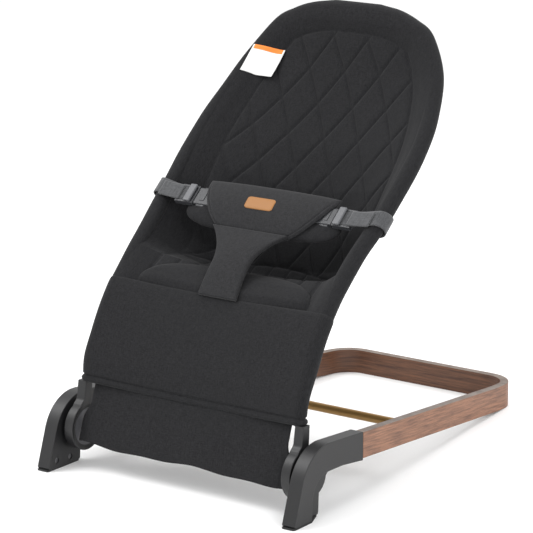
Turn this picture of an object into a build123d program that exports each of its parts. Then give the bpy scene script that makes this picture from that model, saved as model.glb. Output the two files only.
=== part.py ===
"""Baby bouncer seat: a quilted fabric sling on a tube frame, hinged to a bentwood base.

Frame: X across, -Y to the front (the baby's feet), +Z up. The origin is on the floor,
under the middle of the bounding box. All lengths are in millimetres.
"""

import os
from math import cos, hypot, radians, sin, tan

from build123d import *

os.makedirs("parts", exist_ok=True)

# ---------------------------------------------------------------- driving dimensions
HALF_WIDTH = 210.0  # outer faces of the legs
HALF_LENGTH = 324.0  # toe of the foot to the back of the bow is twice this

# Bentwood bow, which narrows towards the back
BOW_REAR_HALF = 151.0
BOW_THICK = 12.0
BOW_HEIGHT = 35.0
BOW_CORNER = 46.0
BOW_JOINT_Y = -168.0  # where the wood enters the legs
BOW_JOINT_TOP = 90.0
BOW_FLAT_Y = 278.0  # behind this the bow lies flat on the floor
BOW_KINK = 500.0
VENEER = 0.6
TENON = dict(x=(199.0, 207.0), y=(-198.0, -160.0), z=(60.0, 84.0))

# Cross rod between the two arms of the bow
ROD_R = 6.0
ROD_Y = -50.0
ROD_Z = 67.7
ROD_SOCKET = 5.0

# Legs: two moulded shells each, meeting on the split plane
LEG_IN = 190.0
LEG_SPLIT = 200.0
LEG_WALL = 2.5
SOLE = 2.0
EDGE_BREAK = 1.0
LEG_END_Y = BOW_JOINT_Y - 0.1

# Hinge: every round piece is on this axis, which is along X
HINGE_Y = -263.5
HINGE_Z = 53.5
HUB_IN = 170.0
HUB_OUT = 184.0
HUB_PAD_R = 25.0  # solid pad on the inner shell behind the hub
PIN_SEAT = 195.0
PIN_HEAD_IN = 197.0
HUB_R = 33.0
RING_WALL = 3.0
CORE_R = 25.5
BOSS_R = 22.0
BOSS_IN = 180.0
RATCHET_R = 20.0
PIN_R = 4.0
PIN_HEAD_R = 7.0
TEETH = 48
TOOTH_ROOT_R = 16.6
TOOTH_TIP_R = 15.4
TOOTH_GAP = 0.12
LOCK_TRAVEL = 6.0
BUTTON_R = 8.9
BOSS_WALL = 2.5
RUN = 0.06  # radial clearance of the running fits

# Screws
SCREW_R = 2.0
SCREW_HEAD_R = 3.8
SHELL_SCREW = (-305.0, 12.0)  # joins the two shells
HEEL_SCREW = (-277.0, 10.5)  # goes into the solid heel
TENON_SCREWS = [(-178.0, 72.0), (-190.0, 72.0)]

# Seat frame: a steel tube loop in a fabric sleeve
TUBE_R = 8.0
TUBE_BORE = 6.8
SPIGOT_R = 6.4
SLEEVE_R = 11.0
SOCKET = 24.0
RAIL = [
    (170.0, -257.0, 117.0),
    (170.0, -252.2, 146.6),
    (168.5, -236.5, 177.0),
    (167.6, -216.0, 213.0),
    (167.2, -193.5, 243.0),
    (167.0, -163.0, 274.0),
    (168.5, -124.0, 309.0),
    (173.0, -79.0, 345.0),
    (176.0, -30.0, 388.0),
    (175.0, 12.0, 425.5),
    (167.0, 51.0, 463.0),
    (150.0, 90.0, 509.0),
    (121.0, 114.0, 552.0),
    (96.0, 120.5, 567.5),
    (68.0, 124.5, 577.0),
    (36.0, 126.5, 582.0),
    (0.0, 126.5, 582.0),
]

# Sling panels: rows of half width, y, z, slope in degrees and depth behind the rails
FRONT_ROWS = [
    (158.0, -262.0, 112.0, 80.0, 2.0),
    (158.0, -252.5, 146.0, 77.0, 2.0),
    (155.5, -236.5, 177.0, 66.0, 2.0),
    (154.5, -216.0, 213.0, 56.0, 2.0),
    (154.0, -195.5, 241.0, 51.0, 2.0),
]
PAD_ROWS = [
    (153.5, -193.0, 244.0, 50.0, 2.0),
    (153.5, -175.0, 262.5, 45.0, 4.0),
    (153.5, -153.5, 282.0, 42.0, 10.0),
]
BACK_ROWS = [
    (153.5, -150.0, 285.5, 42.0, 12.0),
    (154.0, -135.0, 299.0, 41.0, 88.0),
    (155.5, -108.0, 322.0, 39.0, 98.0),
    (159.0, -79.0, 345.0, 39.0, 84.0),
    (162.0, -30.0, 388.0, 41.0, 50.0),
    (161.0, 12.0, 425.5, 42.0, 34.0),
    (152.0, 51.0, 463.0, 46.0, 24.0),
    (134.0, 90.0, 509.0, 54.0, 14.0),
    (102.0, 112.0, 547.0, 62.0, 8.0),
    (72.0, 119.0, 562.0, 65.0, 5.0),
]
SEAM_ROW = 3  # row of BACK_ROWS where the bucket is sewn to the back
FRONT_THICK = 5.0
PAD_THICK = 13.0
BACK_THICK = 10.0
APRON_HALF = 157.0
APRON_TOP = (-258.5, 108.5)
APRON_FOOT = (-283.0, 36.0)
APRON_THICK = 4.0

# Harness, laid out on its own plane across the seat: x, then v up the seat
HARNESS = Plane(origin=(0, -88, 338), x_dir=(1, 0, 0), z_dir=(0, -sin(radians(40)), cos(radians(40))))
FLAP_TOP = (110.0, 31.0)
FLAP_CORNER = (72.0, -34.0)
FLAP_FOOT = -46.0
FLAP_LIFT = 16.0
FLAP_THICK = 4.0
WAIST_SIZE = (262.0, 62.0, 13.0)
WAIST_V = -6.0
TAG_SIZE = (46.0, 19.0, 1.4)
STRAP_THICK = 4.0
BUCKLE_V = 0.0
BUCKLE_X = (86.0, 112.0, 140.0)  # inner end, parting, outer end
BUCKLE_WIDE = 29.0
BUCKLE_LIFT = 2.0
BUCKLE_THICK = 8.0
WEB_WIDE = 25.0
WEB_THICK = 1.6
LABEL_SIZE = (46.0, 42.0, 0.8)


# ---------------------------------------------------------------- helpers
def save(piece, name):
    """Labels a finished piece and writes it as its own node."""
    piece.part.label = name
    export_step(piece.part, f"parts/{name}.step")


def save_pair(right, name):
    """Writes a right-hand piece and its mirror image."""
    save(right, f"right_{name}")
    with BuildPart() as left:
        mirror(right.part, about=Plane.YZ)
    save(left, f"left_{name}")


def across(x):
    """Sketch plane facing +X at a given x: its local axes are Y and Z."""
    return Plane.YZ.offset(x)


def on_axis(x):
    """Sketch plane facing +X with its origin on the hinge axis."""
    return Plane(origin=(x, HINGE_Y, HINGE_Z), x_dir=(0, 1, 0), z_dir=(1, 0, 0))


# ---------------------------------------------------------------- bentwood bow
def bow_outline(inset, overrun):
    """Plan of the bow at a distance inside its outer face, open towards the front."""
    slope = (HALF_WIDTH - BOW_REAR_HALF) / (HALF_LENGTH - BOW_JOINT_Y)
    side = inset * hypot(1.0, slope)
    front_half = HALF_WIDTH - side + slope * overrun
    rear_half = BOW_REAR_HALF - side + slope * inset
    front_y = BOW_JOINT_Y - overrun
    rear_y = HALF_LENGTH - inset
    corner = BOW_CORNER - inset
    return [
        (front_half, front_y),
        (rear_half, rear_y),
        (-rear_half, rear_y),
        (-front_half, front_y),
    ], [0, corner, corner, 0]


def bow_strip(outer_inset, inner_inset):
    """One layer of the bow, between two distances inside its outer face."""
    with BuildPart() as strip:
        with BuildSketch():
            for inset, overrun, mode in (
                (outer_inset, 0.0, Mode.ADD),
                (inner_inset, 5.0, Mode.SUBTRACT),
            ):
                points, radii = bow_outline(inset, overrun)
                with BuildLine():
                    FilletPolyline(*points, radius=radii, close=True)
                make_face(mode=mode)
        extrude(amount=120.0)
        with BuildSketch(across(-HALF_WIDTH - 10.0)):
            with BuildLine():
                FilletPolyline(
                    (BOW_JOINT_Y, BOW_JOINT_TOP - BOW_HEIGHT),
                    (BOW_FLAT_Y, 0.0),
                    (HALF_LENGTH + 10.0, 0.0),
                    (HALF_LENGTH + 10.0, BOW_HEIGHT),
                    (BOW_FLAT_Y, BOW_HEIGHT),
                    (BOW_JOINT_Y, BOW_JOINT_TOP),
                    radius=[0, BOW_KINK, 0, 0, BOW_KINK, 0],
                    close=True,
                )
            make_face()
        extrude(amount=2.0 * HALF_WIDTH + 20.0, mode=Mode.INTERSECT)
    return strip


ROD_SLOPE = (HALF_WIDTH - BOW_REAR_HALF) / (HALF_LENGTH - BOW_JOINT_Y)
ROD_HALF = HALF_WIDTH - ROD_SLOPE * (ROD_Y - BOW_JOINT_Y) - BOW_THICK + ROD_SOCKET


def cut_rod_sockets(half_length):
    """Blind round sockets for the cross rod, cut from both arms at once."""
    with BuildSketch(Plane(origin=(-half_length, ROD_Y, ROD_Z), x_dir=(0, 1, 0), z_dir=(1, 0, 0))) as hole:
        Circle(ROD_R + RUN)
    extrude(hole.sketch, amount=2.0 * half_length, mode=Mode.SUBTRACT)


with BuildPart() as bow_core:
    add(bow_strip(VENEER, BOW_THICK - VENEER).part)
    for side in (-1.0, 1.0):
        low_x = min(side * x for x in TENON["x"])
        with BuildSketch(across(low_x)) as tenon:
            with BuildLine():
                Polyline(
                    (TENON["y"][0], TENON["z"][0]),
                    (TENON["y"][1], TENON["z"][0]),
                    (TENON["y"][1], TENON["z"][1]),
                    (TENON["y"][0], TENON["z"][1]),
                    close=True,
                )
            make_face()
        extrude(amount=TENON["x"][1] - TENON["x"][0])
    cut_rod_sockets(ROD_HALF + 0.2)
    for y, z in TENON_SCREWS:
        with BuildSketch(Plane(origin=(-HALF_WIDTH, y, z), x_dir=(0, 1, 0), z_dir=(1, 0, 0))):
            Circle(SCREW_R + 0.1)
        extrude(amount=2.0 * HALF_WIDTH, mode=Mode.SUBTRACT)
save(bow_core, "bow_core")

save(bow_strip(0.0, VENEER), "bow_outer_veneer")

with BuildPart() as inner_veneer:
    add(bow_strip(BOW_THICK - VENEER, BOW_THICK).part)
    cut_rod_sockets(ROD_HALF + 0.2)
save(inner_veneer, "bow_inner_veneer")

with BuildPart() as cross_rod:
    with BuildSketch(Plane(origin=(-ROD_HALF, ROD_Y, ROD_Z), x_dir=(0, 1, 0), z_dir=(1, 0, 0))):
        Circle(ROD_R)
        Circle(ROD_R - 1.2, mode=Mode.SUBTRACT)
    extrude(amount=2.0 * ROD_HALF)
save(cross_rod, "cross_rod")


# ---------------------------------------------------------------- legs
def leg_outline(heel):
    """Side view of a leg shell: the outer one has a slim heel, the inner one a deep heel."""
    toe = (1.0 - HALF_LENGTH, SOLE)
    crown = (-290.4, 99.1)
    neck_top = (LEG_END_Y, 90.6)
    neck_low = (LEG_END_Y, 52.0)
    if heel == "slim":
        corners = [(-215.0, 57.5), (-283.0, 59.0), (-283.0, SOLE)]
        radii = [60.0, 34.0, 3.0]
    else:
        corners = [(-230.0, 57.0), (-254.0, 36.0), (-256.0, SOLE)]
        radii = [25.0, 12.0, 3.0]
    return [neck_low, *corners, toe, crown, neck_top], [1.0, *radii, 3.0, 60.0, 1.0]


def leg_face(heel, x, inset=0.0):
    """Filled leg outline at a given x, shrunk by a wall thickness."""
    points, radii = leg_outline(heel)
    with BuildSketch(across(x)) as face:
        with BuildLine():
            FilletPolyline(*points, radius=radii, close=True)
        make_face()
        if inset:
            offset(amount=-inset, mode=Mode.REPLACE)
    return face.sketch


def softened(outline, depth, show_x):
    """Block extruded along +X from an outline, with the rim at show_x broken."""
    with BuildPart() as block:
        extrude(outline, amount=depth)
        rim = block.edges().filter_by_position(Axis.X, show_x - 0.01, show_x + 0.01)
        fillet(rim, radius=EDGE_BREAK)
    return block.part


def hub_face(x, radius):
    """Round face on the hinge axis at a given x."""
    with BuildSketch(on_axis(x)) as face:
        Circle(radius)
    return face.sketch


def leg_shell(heel, low_x, high_x, show_x):
    """Moulded shell, hollow inside the slim outline and open on the split plane."""
    cavity_low = low_x if show_x == high_x else low_x + LEG_WALL
    with BuildPart() as shell:
        add(softened(leg_face(heel, low_x), high_x - low_x, show_x))
        if heel == "deep":
            add(softened(hub_face(low_x, HUB_PAD_R), high_x - low_x, show_x))
        cavity = leg_face("slim", cavity_low, LEG_WALL)
        extrude(cavity, amount=high_x - low_x - LEG_WALL, mode=Mode.SUBTRACT)
        with BuildSketch(across(TENON["x"][0] - 0.2)) as slot:
            with Locations((LEG_END_Y - 1.0, (TENON["z"][0] + TENON["z"][1]) / 2.0)):
                Rectangle(8.0, TENON["z"][1] - TENON["z"][0] + 0.4)
        extrude(slot.sketch, amount=TENON["x"][1] - TENON["x"][0] + 0.4, mode=Mode.SUBTRACT)
    return shell


def screw_posts(places, low_x, high_x, radius, bore):
    """Round posts along X inside a shell, each with a bore for a screw."""
    for y, z in places:
        plane = Plane(origin=(low_x, y, z), x_dir=(0, 1, 0), z_dir=(1, 0, 0))
        with BuildSketch(plane) as post:
            Circle(radius)
        extrude(post.sketch, amount=high_x - low_x)
        with BuildSketch(plane) as hole:
            Circle(bore)
        extrude(hole.sketch, amount=high_x - low_x, mode=Mode.SUBTRACT)


with BuildPart() as leg_inner:
    add(leg_shell("deep", LEG_IN, LEG_SPLIT, LEG_IN).part)
    screw_posts([SHELL_SCREW], LEG_IN, LEG_SPLIT, SCREW_HEAD_R + 2.0, SCREW_R + 0.1)
    screw_posts([HEEL_SCREW], LEG_IN, LEG_SPLIT - 0.5, SCREW_HEAD_R + 2.0, SCREW_R + 0.1)
    screw_posts(TENON_SCREWS, LEG_IN, TENON["x"][0] - 0.2, SCREW_HEAD_R + 1.8, SCREW_R + 0.1)
    for y, z in (SHELL_SCREW, HEEL_SCREW, *TENON_SCREWS):
        with BuildSketch(Plane(origin=(LEG_IN, y, z), x_dir=(0, 1, 0), z_dir=(1, 0, 0))):
            Circle(SCREW_HEAD_R + 0.2)
        extrude(amount=4.0, mode=Mode.SUBTRACT)
    extrude(hub_face(BOSS_IN, BOSS_R), amount=LEG_SPLIT - BOSS_IN)
    extrude(hub_face(BOSS_IN, RATCHET_R + 0.02), amount=PIN_SEAT - BOSS_IN, mode=Mode.SUBTRACT)
    extrude(hub_face(PIN_SEAT, PIN_R + 0.02), amount=LEG_SPLIT - PIN_SEAT, mode=Mode.SUBTRACT)
    extrude(hub_face(PIN_HEAD_IN, PIN_HEAD_R + 0.05), amount=LEG_SPLIT - PIN_HEAD_IN, mode=Mode.SUBTRACT)
save_pair(leg_inner, "leg_inner_shell")

with BuildPart() as leg_outer:
    add(leg_shell("slim", LEG_SPLIT, HALF_WIDTH, HALF_WIDTH).part)
    screw_posts([SHELL_SCREW], LEG_SPLIT, HALF_WIDTH - LEG_WALL, SCREW_HEAD_R + 1.0, SCREW_R + 0.1)
    screw_posts(
        TENON_SCREWS, TENON["x"][1] + 0.2, HALF_WIDTH - 0.5 * LEG_WALL, SCREW_HEAD_R, SCREW_R + 0.1
    )
save_pair(leg_outer, "leg_outer_shell")

with BuildPart() as foot_pad:
    with BuildSketch():
        with BuildLine():
            FilletPolyline(
                (LEG_IN + 0.5, -HALF_LENGTH),
                (HALF_WIDTH, -HALF_LENGTH),
                (HALF_WIDTH, -284.0),
                (LEG_SPLIT - 0.5, -258.0),
                (LEG_IN + 0.5, -258.0),
                radius=[2.5, 4.0, 6.0, 4.0, 2.0],
                close=True,
            )
        make_face()
    extrude(amount=SOLE)
save_pair(foot_pad, "foot_pad")


def screw_group(places):
    """Pan-head screws along X, the same on both legs: y, z and where the tip ends."""
    with BuildPart() as group:
        for y, z, tip_x in places:
            plane = Plane(origin=(LEG_IN + 1.5, y, z), x_dir=(0, 1, 0), z_dir=(1, 0, 0))
            with BuildSketch(plane) as head:
                Circle(SCREW_HEAD_R)
                RegularPolygon(radius=1.6, side_count=6, mode=Mode.SUBTRACT)
            extrude(head.sketch, amount=1.6)
            with BuildSketch(plane.offset(1.0)) as rim:
                Circle(SCREW_HEAD_R)
            extrude(rim.sketch, amount=1.5)
            with BuildSketch(plane.offset(2.5)) as shank:
                Circle(SCREW_R)
            extrude(shank.sketch, amount=tip_x - LEG_IN - 4.0)
        mirror(group.part, about=Plane.YZ)
    return group


shell_screw = (*SHELL_SCREW, HALF_WIDTH - LEG_WALL - 0.5)
heel_screw = (*HEEL_SCREW, LEG_SPLIT - 1.0)
save(screw_group([shell_screw, heel_screw]), "leg_screws")
save(screw_group([(y, z, HALF_WIDTH - LEG_WALL) for y, z in TENON_SCREWS]), "tenon_screws")


# ---------------------------------------------------------------- hinge and lock
def tooth_ring(clearance, mode=Mode.ADD):
    """Face bounded by the toothed bore, or by the gear that fits it with a clearance."""
    pitch = 360.0 / TEETH
    points = []
    for tooth in range(TEETH):
        for turn, radius in (
            (-0.30, TOOTH_ROOT_R),
            (-0.14, TOOTH_TIP_R),
            (0.14, TOOTH_TIP_R),
            (0.30, TOOTH_ROOT_R),
        ):
            angle = radians(pitch * (tooth + turn))
            reach = radius - clearance
            points.append((reach * cos(angle), reach * sin(angle)))
    with BuildLine(mode=Mode.PRIVATE) as outline:
        Polyline(*points, close=True)
    make_face(outline.edges(), mode=mode)


with BuildPart() as ratchet_ring:
    with BuildSketch(on_axis(BOSS_IN + 0.3)):
        Circle(RATCHET_R)
        tooth_ring(0.0, Mode.SUBTRACT)
    extrude(amount=11.0)
save_pair(ratchet_ring, "ratchet_ring")

with BuildPart() as hub_core:
    with BuildSketch(on_axis(HUB_IN + 0.5)):
        Circle(CORE_R)
    extrude(amount=HUB_OUT - HUB_IN - 0.5)
    with BuildSketch(on_axis(BOSS_IN - 0.3)):
        Circle(BOSS_R + RUN)
    extrude(amount=HUB_OUT - BOSS_IN + 0.3, mode=Mode.SUBTRACT)
    with BuildSketch(on_axis(HUB_IN + 2.5)):
        tooth_ring(0.0)
    extrude(amount=BOSS_IN - HUB_IN - 2.5, mode=Mode.SUBTRACT)
    with BuildSketch(on_axis(HUB_IN + 0.5)):
        Circle(BUTTON_R + RUN)
    extrude(amount=3.0, mode=Mode.SUBTRACT)
save_pair(hub_core, "hub_core")

with BuildPart() as lock_gear:
    with BuildSketch(on_axis(BOSS_IN - 5.2)):
        tooth_ring(TOOTH_GAP)
        Circle(PIN_R + RUN, mode=Mode.SUBTRACT)
    extrude(amount=10.0)
save_pair(lock_gear, "lock_gear")

with BuildPart() as lock_button:
    with BuildSketch(on_axis(HUB_IN - LOCK_TRAVEL - 0.6)):
        Circle(BUTTON_R)
    extrude(amount=BOSS_IN - 5.2 - HUB_IN + LOCK_TRAVEL + 0.6)
    fillet(lock_button.edges().sort_by(Axis.X)[0], radius=1.5)
save_pair(lock_button, "lock_button")

SPRING_IN = BOSS_IN + 5.2
SPRING_TURNS = 2.5
SPRING_LENGTH = PIN_SEAT - SPRING_IN - 0.4
SPRING_WIRE = 0.6
with BuildPart() as lock_spring:
    with BuildLine():
        coil = Helix(
            pitch=(SPRING_LENGTH - 2.0 * SPRING_WIRE) / SPRING_TURNS,
            height=SPRING_LENGTH - 2.0 * SPRING_WIRE,
            radius=6.4,
            center=(SPRING_IN + SPRING_WIRE, HINGE_Y, HINGE_Z),
            direction=(1, 0, 0),
        )
    with BuildSketch(Plane(origin=coil @ 0, z_dir=coil % 0)):
        Circle(SPRING_WIRE)
    sweep(path=coil, is_frenet=True)
save_pair(lock_spring, "lock_spring")

with BuildPart() as hinge_pin:
    with BuildSketch(on_axis(BOSS_IN + 1.2)):
        Circle(PIN_R)
    extrude(amount=PIN_HEAD_IN + 0.1 - BOSS_IN - 1.2)
    with BuildSketch(on_axis(PIN_HEAD_IN)):
        Circle(PIN_HEAD_R)
    extrude(amount=2.8)
save_pair(hinge_pin, "hinge_pin")


# ---------------------------------------------------------------- seat frame
SOCKET_RISE = (0.0, RAIL[1][1] - RAIL[0][1], RAIL[1][2] - RAIL[0][2])


def bend_radii(points):
    """Bend radius at each inner point, as large as the straight runs beside it allow."""
    radii = []
    for before, here, after in zip(points, points[1:], points[2:]):
        run_in = Vector(*here) - Vector(*before)
        run_out = Vector(*after) - Vector(*here)
        half_turn = radians(run_in.get_angle(run_out)) / 2.0
        radii.append(0.46 * min(run_in.length, run_out.length) / tan(half_turn))
    return radii


def rail_tube(outer, bore):
    """Tube of a given size along the whole rail, from one foot round to the other."""
    with BuildPart() as tube:
        with BuildLine() as path:
            FilletPolyline(*RAIL, radius=bend_radii(RAIL))
        for radius, mode in ((outer, Mode.ADD), (bore, Mode.SUBTRACT)):
            with BuildSketch(Plane(origin=RAIL[0], x_dir=(1, 0, 0), z_dir=SOCKET_RISE)) as disc:
                Circle(radius)
            sweep(disc.sketch, path=path.wires()[0], mode=mode)
        mirror(tube.part, about=Plane.YZ)
    return tube


save(rail_tube(TUBE_R, TUBE_BORE), "frame_tube")
save(rail_tube(SLEEVE_R, TUBE_R + 0.15), "edge_sleeve")

with BuildPart() as frame_arm:
    with BuildSketch(on_axis(HUB_IN)):
        Circle(HUB_R)
        with BuildLine():
            FilletPolyline(
                (-28.0, 10.0),
                (-12.5, 33.0),
                (-6.0, 38.0),
                (-2.0, 63.0),
                (12.0, 63.0),
                (10.0, 30.0),
                (10.0, 10.0),
                radius=[0, 5, 9, 0, 0, 4, 0],
                close=True,
            )
        make_face()
    extrude(amount=HUB_OUT - HUB_IN)
    rims = frame_arm.edges().filter_by_position(Axis.X, HUB_IN - 0.01, HUB_IN + 0.01)
    rims += frame_arm.edges().filter_by_position(Axis.X, HUB_OUT - 0.01, HUB_OUT + 0.01)
    fillet(rims, radius=1.2)
    with BuildSketch(on_axis(HUB_IN)):
        Circle(HUB_R - RING_WALL)
    extrude(amount=HUB_OUT - HUB_IN, mode=Mode.SUBTRACT)
    with BuildSketch(Plane(origin=RAIL[0], x_dir=(1, 0, 0), z_dir=SOCKET_RISE).offset(-3.0)):
        Circle(SPIGOT_R)
    extrude(amount=SOCKET + 3.0)
    with BuildSketch(Plane(origin=RAIL[0], x_dir=(1, 0, 0), z_dir=SOCKET_RISE).offset(0.05)):
        Circle(SLEEVE_R + 6.0)
        Circle(SPIGOT_R, mode=Mode.SUBTRACT)
    extrude(amount=12.0, mode=Mode.SUBTRACT)
save_pair(frame_arm, "frame_arm")

with BuildPart() as torsion_bush:
    with BuildSketch(on_axis(HUB_IN + 1.0)):
        Circle(HUB_R - RING_WALL - 0.03)
        Circle(CORE_R + RUN, mode=Mode.SUBTRACT)
    extrude(amount=HUB_OUT - HUB_IN - 2.0)
save_pair(torsion_bush, "torsion_bush")


# ---------------------------------------------------------------- sling
def panel(rows, thickness):
    """Fabric panel lofted through arched sections, each square to the seat's side view."""
    with BuildPart() as cloth:
        for half, y, z, slope, depth in rows:
            rise = (0.0, cos(radians(slope)), sin(radians(slope)))
            with BuildSketch(Plane(origin=(0, y, z), x_dir=(1, 0, 0), z_dir=rise)):
                with BuildLine():
                    ThreePointArc((-half, 0.0), (0.0, depth), (half, 0.0))
                    Line((half, 0.0), (half, thickness))
                    ThreePointArc((half, thickness), (0.0, depth + thickness), (-half, thickness))
                    Line((-half, thickness), (-half, 0.0))
                make_face()
        loft(ruled=True)
    return cloth


save(panel(FRONT_ROWS, FRONT_THICK), "front_panel")
save(panel(PAD_ROWS, PAD_THICK), "seat_pad")
save(panel(BACK_ROWS[: SEAM_ROW + 1], BACK_THICK), "bucket_panel")
save(panel(BACK_ROWS[SEAM_ROW:], BACK_THICK), "back_panel")

with BuildPart() as apron:
    with BuildSketch(across(-APRON_HALF)):
        with BuildLine():
            Polyline(
                APRON_TOP,
                APRON_FOOT,
                (APRON_FOOT[0] + APRON_THICK, APRON_FOOT[1]),
                (APRON_TOP[0] + APRON_THICK, APRON_TOP[1]),
                close=True,
            )
        make_face()
    extrude(amount=2.0 * APRON_HALF)
save(apron, "lower_apron")

with BuildPart() as label:
    with BuildSketch(Plane(origin=(-124.5, 73.4, 513.2), x_dir=(1, 0, 0), z_dir=(0, -0.763, 0.647))):
        RectangleRounded(LABEL_SIZE[0], LABEL_SIZE[1], 2.0)
    extrude(amount=LABEL_SIZE[2])
save(label, "care_label")


# ---------------------------------------------------------------- harness
with BuildPart() as waist_pad:
    with BuildSketch(HARNESS.offset(BUCKLE_LIFT - 0.5 - WAIST_SIZE[2])):
        with Locations((0.0, WAIST_V)):
            RectangleRounded(WAIST_SIZE[0], WAIST_SIZE[1], 20.0)
    extrude(amount=WAIST_SIZE[2])
    fillet(waist_pad.edges().group_by(Axis.Z)[-1], radius=2.0)
save(waist_pad, "waist_pad")

with BuildPart() as waist_flap:
    with BuildSketch(HARNESS.offset(FLAP_LIFT)):
        with BuildLine():
            Line((FLAP_TOP[0], FLAP_TOP[1]), (-FLAP_TOP[0], FLAP_TOP[1]))
            Line((-FLAP_TOP[0], FLAP_TOP[1]), (-FLAP_CORNER[0], FLAP_CORNER[1]))
            ThreePointArc(
                (-FLAP_CORNER[0], FLAP_CORNER[1]), (0.0, FLAP_FOOT), (FLAP_CORNER[0], FLAP_CORNER[1])
            )
            Line((FLAP_CORNER[0], FLAP_CORNER[1]), (FLAP_TOP[0], FLAP_TOP[1]))
        make_face()
    extrude(amount=FLAP_THICK)
save(waist_flap, "waist_flap")

with BuildPart() as leather_tag:
    with BuildSketch(HARNESS.offset(FLAP_LIFT + FLAP_THICK)):
        with Locations((0.0, 6.0)):
            RectangleRounded(TAG_SIZE[0], TAG_SIZE[1], 3.0)
    extrude(amount=TAG_SIZE[2])
save(leather_tag, "leather_tag")

with BuildPart() as crotch_strap:
    with BuildSketch(Plane(origin=(0, -196, 248), x_dir=(1, 0, 0), z_dir=(0, 0.7, 0.714))):
        with BuildLine():
            Polyline((-31, -4), (31, -4), (31, -4 - STRAP_THICK), (-31, -4 - STRAP_THICK), close=True)
        make_face()
    with BuildSketch(Plane(origin=(0, -126, 309.5), x_dir=(1, 0, 0), z_dir=(0, 0.7, 0.714))):
        with BuildLine():
            Polyline((-52, -7), (52, -7), (52, -7 - STRAP_THICK), (-52, -7 - STRAP_THICK), close=True)
        make_face()
    loft(ruled=True)
save(crotch_strap, "crotch_strap")


def harness_box(x_range, wide, low, thick, mode=Mode.ADD):
    """Block on the harness plane, centred on the buckle line."""
    with BuildSketch(HARNESS.offset(low)) as block:
        with Locations(((x_range[0] + x_range[1]) / 2.0, BUCKLE_V)):
            Rectangle(abs(x_range[1] - x_range[0]), wide)
    extrude(block.sketch, amount=thick, mode=mode)


with BuildPart() as buckle_socket:
    harness_box((BUCKLE_X[1], BUCKLE_X[2]), BUCKLE_WIDE, BUCKLE_LIFT, BUCKLE_THICK)
    fillet(buckle_socket.edges().filter_by(Axis(HARNESS.origin, HARNESS.z_dir)), radius=3.0)
    harness_box((BUCKLE_X[1] - 1.0, BUCKLE_X[2] - 8.0), BUCKLE_WIDE - 7.0, BUCKLE_LIFT + 1.8, 4.4, Mode.SUBTRACT)
save_pair(buckle_socket, "buckle_socket")

with BuildPart() as buckle_plug:
    harness_box((BUCKLE_X[0], BUCKLE_X[1] - 0.4), BUCKLE_WIDE, BUCKLE_LIFT, BUCKLE_THICK)
    fillet(buckle_plug.edges().filter_by(Axis(HARNESS.origin, HARNESS.z_dir)), radius=3.0)
    harness_box((BUCKLE_X[1] - 1.0, BUCKLE_X[2] - 9.5), BUCKLE_WIDE - 8.0, BUCKLE_LIFT + 2.2, 3.6)
save_pair(buckle_plug, "buckle_plug")

with BuildPart() as side_webbing:
    harness_box((BUCKLE_X[2] + 0.2, 178.0), WEB_WIDE, SLEEVE_R + 0.6, WEB_THICK)
save_pair(side_webbing, "side_webbing")
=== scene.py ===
"""Looks of the bouncer seat: quilted sling, front pocket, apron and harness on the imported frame."""

import math

import bpy
import numpy as np
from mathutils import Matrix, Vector


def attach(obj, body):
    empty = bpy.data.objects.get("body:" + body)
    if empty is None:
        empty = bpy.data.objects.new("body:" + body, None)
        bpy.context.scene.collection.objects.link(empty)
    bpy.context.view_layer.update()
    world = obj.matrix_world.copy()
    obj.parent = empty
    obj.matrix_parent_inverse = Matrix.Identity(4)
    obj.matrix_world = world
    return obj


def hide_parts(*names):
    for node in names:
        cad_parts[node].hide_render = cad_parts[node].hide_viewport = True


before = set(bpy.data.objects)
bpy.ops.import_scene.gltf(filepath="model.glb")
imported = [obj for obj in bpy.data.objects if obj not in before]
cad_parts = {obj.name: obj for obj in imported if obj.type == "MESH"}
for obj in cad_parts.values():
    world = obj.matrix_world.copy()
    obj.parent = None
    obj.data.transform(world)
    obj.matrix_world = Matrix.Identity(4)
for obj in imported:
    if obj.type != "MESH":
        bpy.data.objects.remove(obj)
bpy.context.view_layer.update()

# ------------------------------------------------------------------ sizes, in millimetres
RAIL = np.array([
    (170.0, -257.0, 117.0),
    (170.0, -252.2, 146.6),
    (168.5, -236.5, 177.0),
    (167.6, -216.0, 213.0),
    (167.2, -193.5, 243.0),
    (167.0, -163.0, 274.0),
    (168.5, -124.0, 309.0),
    (173.0, -79.0, 345.0),
    (176.0, -30.0, 388.0),
    (175.0, 12.0, 425.5),
    (167.0, 51.0, 463.0),
    (150.0, 90.0, 509.0),
    (121.0, 114.0, 552.0),
    (96.0, 120.5, 567.5),
    (68.0, 124.5, 577.0),
    (36.0, 126.5, 582.0),
])
SLEEVE_R = 11.3
POCKET_R = 12.9
KNEE_S = 143.0
STEP = 1.3

# Depth of the sling behind the rails, along the middle of the seat
DEPTH_S = [0, 143, 175, 197, 205, 222, 240, 262, 297, 362, 418, 472, 532, 575, 613]
DEPTH = [-2, 4, 12, 22, 42, 74, 88, 90, 78, 50, 35, 24, 12, 3, -6]

DIAMOND_WIDE = 57.0
DIAMOND_TALL = 93.0
DIAMOND_S = 436.0
BORDER = 36.0

HARNESS_O = np.array([0.0, -88.0, 338.0])
HARNESS_V = np.array([0.0, 0.7660444, 0.6427876])
HARNESS_W = np.array([0.0, -0.6427876, 0.7660444])


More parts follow.
